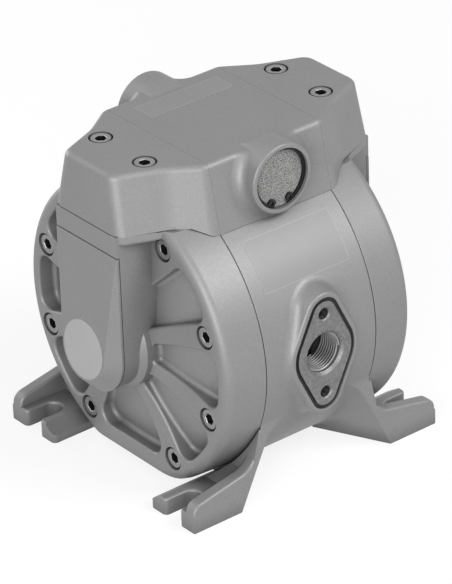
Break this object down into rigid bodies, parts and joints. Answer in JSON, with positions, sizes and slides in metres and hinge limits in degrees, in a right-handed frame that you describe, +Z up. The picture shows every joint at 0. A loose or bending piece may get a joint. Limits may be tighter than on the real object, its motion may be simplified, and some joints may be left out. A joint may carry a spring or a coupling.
{
  "type": "air operated diaphragm pump",
  "caption": "Air operated double diaphragm pump: ribbed round covers on a footed centre casing, flanged fluid ports front and back, air valve housing on top.",
  "frame": {"origin": "on the foot plane, centred between the four feet", "axes": "+X along the pump axis towards the far cover, -Y out of the inlet port (front), +Z up"},
  "size_m": [0.1986, 0.1896, 0.2042],
  "materials": {
    "casting": "satin silver-grey paint over a cast surface",
    "machined_block": "milled face",
    "screw_steel": "bright zinc plated",
    "rod_steel": "ground",
    "plate_aluminium": "turned",
    "circlip_steel": "black phosphated",
    "sintered": "porous, light grey",
    "brass": "turned",
    "inlet_bush_steel": "turned",
    "seal_rubber": "matt black",
    "diaphragm_rubber": "matt black",
    "ball_plastic": "smooth white",
    "seat_plastic": "machined white"
  },
  "bodies": {
    "pump_body": {"air_inlet_bush": "inlet_bush_steel", "centre_casing": "casting", "cover_far": "casting", "cover_near": "casting", "cover_screws_far": "screw_steel", "cover_screws_near": "screw_steel", "duct_gasket_far": "seal_rubber", "duct_gasket_near": "seal_rubber", "duct_panel_far": "casting", "duct_panel_near": "casting", "end_block_far": "casting", "end_block_near": "casting", "inlet_plugs": "seat_plastic", "inlet_port_seal": "seal_rubber", "inlet_seats": "seat_plastic", "inlet_valve_block": "machined_block", "muffler_circlip": "circlip_steel", "muffler_disc": "sintered", "outlet_plugs": "seat_plastic", "outlet_port_seal": "seal_rubber", "outlet_seats": "seat_plastic", "outlet_valve_block": "machined_block", "pilot_bush_far": "brass", "pilot_bush_near": "brass", "pilot_spring_far": "rod_steel", "pilot_spring_near": "rod_steel", "rod_bushes": "brass", "rod_seals": "seal_rubber", "top_screws": "screw_steel", "valve_caps": "plate_aluminium", "valve_housing": "casting", "valve_sleeve": "brass"},
    "rod_set": {"diaphragm_rod": "rod_steel", "inner_plate_far": "plate_aluminium", "inner_plate_near": "plate_aluminium", "outer_plate_far": "plate_aluminium", "outer_plate_near": "plate_aluminium", "rod_nut_far": "rod_steel", "rod_nut_near": "rod_steel", "diaphragm_far": "diaphragm_rubber", "diaphragm_near": "diaphragm_rubber"},
    "inlet_ball_near_body": {"inlet_ball_near": "ball_plastic"},
    "inlet_ball_far_body": {"inlet_ball_far": "ball_plastic"},
    "outlet_ball_near_body": {"outlet_ball_near": "ball_plastic"},
    "outlet_ball_far_body": {"outlet_ball_far": "ball_plastic"},
    "spool_body": {"valve_spool": "plate_aluminium"},
    "pilot_near_body": {"pilot_pin_near": "rod_steel"},
    "pilot_far_body": {"pilot_pin_far": "rod_steel"}
  },
  "joints": [
    {"name": "rod_slide", "type": "slide", "parent": "pump_body", "child": "rod_set", "axis": [1, 0, 0], "range_m": [-0.008, 0.008], "deforming": ["diaphragm_far", "diaphragm_near"]},
    {"name": "inlet_ball_near_lift", "type": "slide", "parent": "pump_body", "child": "inlet_ball_near_body", "axis": [0, 0, 1], "range_m": [0, 0.004]},
    {"name": "inlet_ball_far_lift", "type": "slide", "parent": "pump_body", "child": "inlet_ball_far_body", "axis": [0, 0, 1], "range_m": [0, 0.004]},
    {"name": "outlet_ball_near_lift", "type": "slide", "parent": "pump_body", "child": "outlet_ball_near_body", "axis": [0, 0, 1], "range_m": [0, 0.004]},
    {"name": "outlet_ball_far_lift", "type": "slide", "parent": "pump_body", "child": "outlet_ball_far_body", "axis": [0, 0, 1], "range_m": [0, 0.004]},
    {"name": "spool_slide", "type": "slide", "parent": "pump_body", "child": "spool_body", "axis": [1, 0, 0], "range_m": [0, 0.008]},
    {"name": "pilot_near_slide", "type": "slide", "parent": "pump_body", "child": "pilot_near_body", "axis": [-1, 0, 0], "range_m": [0, 0.003], "stiffness_N_per_m": 400, "springref_m": -0.004, "deforming": ["pilot_spring_near"]},
    {"name": "pilot_far_slide", "type": "slide", "parent": "pump_body", "child": "pilot_far_body", "axis": [1, 0, 0], "range_m": [0, 0.003], "stiffness_N_per_m": 400, "springref_m": -0.004, "deforming": ["pilot_spring_far"]}
  ]
}
